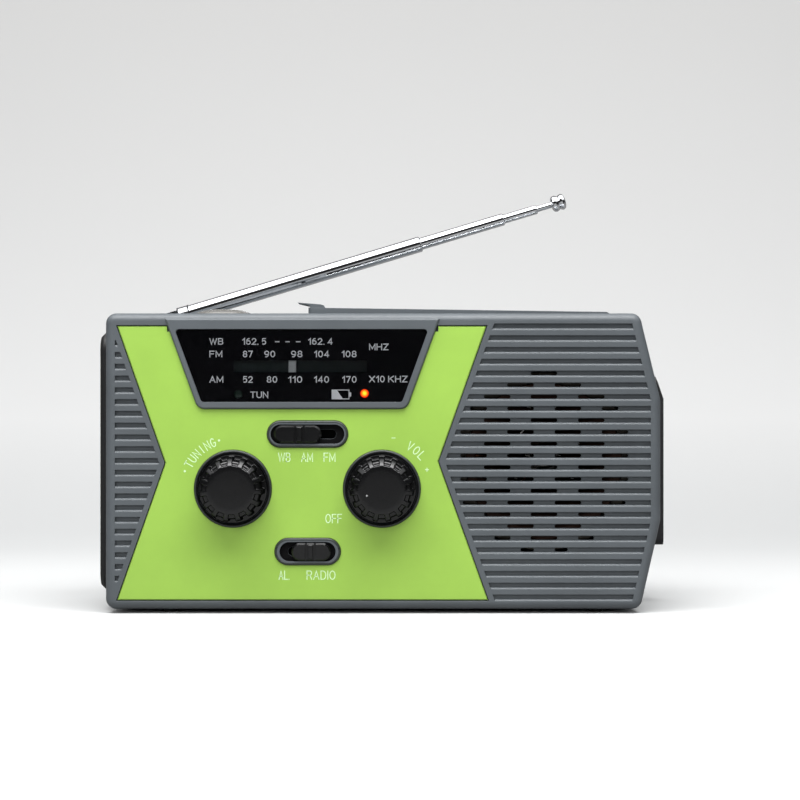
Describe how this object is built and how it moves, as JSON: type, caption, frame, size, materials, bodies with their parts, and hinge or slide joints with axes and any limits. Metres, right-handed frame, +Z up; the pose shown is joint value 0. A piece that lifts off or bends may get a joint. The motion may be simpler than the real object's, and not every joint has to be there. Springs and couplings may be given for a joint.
{
  "type": "emergency radio",
  "caption": "Portable hand-crank emergency radio: ribbed grey case, lime faceplate, dial window, rotary knobs, speaker grille, telescopic aerial, solar lid and torch.",
  "frame": {"origin": "middle of the bounding box in X and Y, underside of the feet in Z", "axes": "+Z up, +X to the right seen from the front, -Y out of the front face"},
  "size_m": [0.1626, 0.061, 0.122],
  "materials": {
    "case_grey": "fine moulded texture",
    "faceplate_lime": "satin painted plastic",
    "black_plastic": "satin moulded",
    "gloss_black": "polished",
    "clear_window": "clear",
    "chrome": "polished",
    "steel": "plain",
    "brass": "plain",
    "rubber": "matt",
    "white_plastic": "natural nylon",
    "board_green": "solder mask",
    "solar_cells": "cells under clear resin",
    "cone_paper": "pressed paper",
    "ferrite": "sintered",
    "copper": "enamelled wire",
    "cell_sleeve": "shrink sleeve",
    "led_amber": "diffused resin",
    "diffuser": "frosted"
  },
  "bodies": {
    "case": {"front_housing": "case_grey", "rear_housing": "case_grey", "faceplate": "faceplate_lime", "dial_window": "clear_window", "dial_mask": "gloss_black", "dial_chassis": "black_plastic", "indicator_leds": "led_amber", "dial_cord": "white_plastic", "tuning_capacitor": "white_plastic", "volume_control": "steel", "slide_switches": "steel", "main_board": "board_green", "speaker_frame": "steel", "speaker_cone": "cone_paper", "speaker_magnet": "steel", "ferrite_rod": "ferrite", "ferrite_coil": "copper", "battery_cell": "cell_sleeve", "battery_cradle": "black_plastic", "battery_contacts": "steel", "charge_board": "board_green", "torch_head": "black_plastic", "torch_lens": "clear_window", "torch_reflector": "chrome", "torch_led": "white_plastic", "generator_body": "steel", "gearbox_frame": "black_plastic", "lid_tray": "case_grey", "lid_pin": "steel", "push_switches": "black_plastic", "rubber_feet": "rubber", "screws": "steel"},
    "tuning": {"tuning_knob": "black_plastic", "tuning_drum_shaft": "white_plastic"},
    "pointer": {"dial_pointer": "white_plastic"},
    "volume": {"volume_knob": "black_plastic"},
    "band_switch": {"band_switch_cap": "black_plastic"},
    "mode_switch": {"mode_switch_cap": "black_plastic"},
    "lamp_push": {"lamp_button": "case_grey"},
    "torch_push": {"torch_button": "rubber"},
    "lid": {"solar_lid": "case_grey", "solar_panel": "solar_cells", "lamp_board": "board_green", "lamp_diffuser": "diffuser"},
    "battery_door": {"battery_cover": "case_grey"},
    "port_flap": {"port_cover": "rubber"},
    "crank": {"crank_arm": "black_plastic", "crank_shaft": "steel", "crank_gear": "white_plastic", "grip_pin": "steel"},
    "grip": {"crank_grip": "black_plastic"},
    "idler": {"idler_gear": "white_plastic"},
    "generator": {"generator_rotor": "steel"},
    "aerial_swivel_base": {"aerial_turret": "chrome", "aerial_pin": "steel"},
    "aerial_section_1": {"aerial_knuckle": "chrome", "aerial_tube_1": "chrome"},
    "aerial_section_2": {"aerial_tube_2": "chrome"},
    "aerial_section_3": {"aerial_tube_3": "chrome"},
    "aerial_tip": {"aerial_rod": "chrome"}
  },
  "joints": [
    {"name": "tuning_turn", "type": "hinge", "parent": "case", "child": "tuning", "pos_m": [-0.04301, -0.02, 0.035], "axis": [0, 1, 0], "range_deg": [-106, 134]},
    {"name": "pointer_slide", "type": "slide", "parent": "case", "child": "pointer", "axis": [1, 0, 0], "range_m": [-0.0125, 0.0158]},
    {"name": "volume_turn", "type": "hinge", "parent": "case", "child": "volume", "pos_m": [-0.00126, -0.02, 0.035], "axis": [0, 1, 0], "range_deg": [-150, 130]},
    {"name": "band_switch_slide", "type": "slide", "parent": "case", "child": "band_switch", "axis": [1, 0, 0], "range_m": [0, 0.0055]},
    {"name": "mode_switch_slide", "type": "slide", "parent": "case", "child": "mode_switch", "axis": [1, 0, 0], "range_m": [-0.0028, 0]},
    {"name": "lamp_button_press", "type": "slide", "parent": "case", "child": "lamp_push", "axis": [0, 0, -1], "range_m": [0, 0.0009], "stiffness_N_per_m": 300},
    {"name": "torch_button_press", "type": "slide", "parent": "case", "child": "torch_push", "axis": [1, 0, 0], "range_m": [0, 0.0008], "stiffness_N_per_m": 300},
    {"name": "lid_hinge", "type": "hinge", "parent": "case", "child": "lid", "pos_m": [0.06245, 0.0025, 0.083], "axis": [0, 1, 0], "range_deg": [0, 95]},
    {"name": "battery_cover_lift", "type": "slide", "parent": "case", "child": "battery_door", "axis": [0, 1, 0], "range_m": [0, 0.025]},
    {"name": "port_flap_hinge", "type": "hinge", "parent": "case", "child": "port_flap", "pos_m": [-0.05495, 0.0296, 0.0503], "axis": [-1, 0, 0], "range_deg": [0, 100]},
    {"name": "crank_turn", "type": "hinge", "parent": "case", "child": "crank", "pos_m": [0.07705, 0.016, 0.0585], "axis": [1, 0, 0], "continuous": true},
    {"name": "grip_fold", "type": "hinge", "parent": "crank", "child": "grip", "pos_m": [0.07945, 0.016, 0.0216], "axis": [0, 1, 0], "range_deg": [0, 90]},
    {"name": "idler_turn", "type": "hinge", "parent": "case", "child": "idler", "pos_m": [0.06405, 0.016, 0.0441], "axis": [1, 0, 0], "continuous": true},
    {"name": "generator_turn", "type": "hinge", "parent": "case", "child": "generator", "pos_m": [0.05905, 0.016, 0.0297], "axis": [1, 0, 0], "continuous": true},
    {"name": "aerial_swivel", "type": "hinge", "parent": "case", "child": "aerial_swivel_base", "pos_m": [-0.07005, 0.0257, 0.079], "axis": [0, 0, 1], "range_deg": [0, 180]},
    {"name": "aerial_tilt", "type": "hinge", "parent": "aerial_swivel_base", "child": "aerial_section_1", "pos_m": [-0.07005, 0.0257, 0.083], "axis": [0, -1, 0], "range_deg": [-16.65, 73.35]},
    {"name": "aerial_draw_2", "type": "slide", "parent": "aerial_section_1", "child": "aerial_section_2", "axis": [0.9581, 0, 0.2865], "range_m": [-0.0258, 0.035]},
    {"name": "aerial_draw_3", "type": "slide", "parent": "aerial_section_2", "child": "aerial_section_3", "axis": [0.9581, 0, 0.2865], "range_m": [-0.0101, 0.048]},
    {"name": "aerial_draw_tip", "type": "slide", "parent": "aerial_section_3", "child": "aerial_tip", "axis": [0.9581, 0, 0.2865], "range_m": [-0.0044, 0.05]}
  ],
  "couplings": [
    {"joint": "pointer_slide", "follows": "tuning_turn", "m_per_rad": 0.0067},
    {"joint": "idler_turn", "follows": "crank_turn", "ratio": -3},
    {"joint": "generator_turn", "follows": "crank_turn", "ratio": 9}
  ]
}
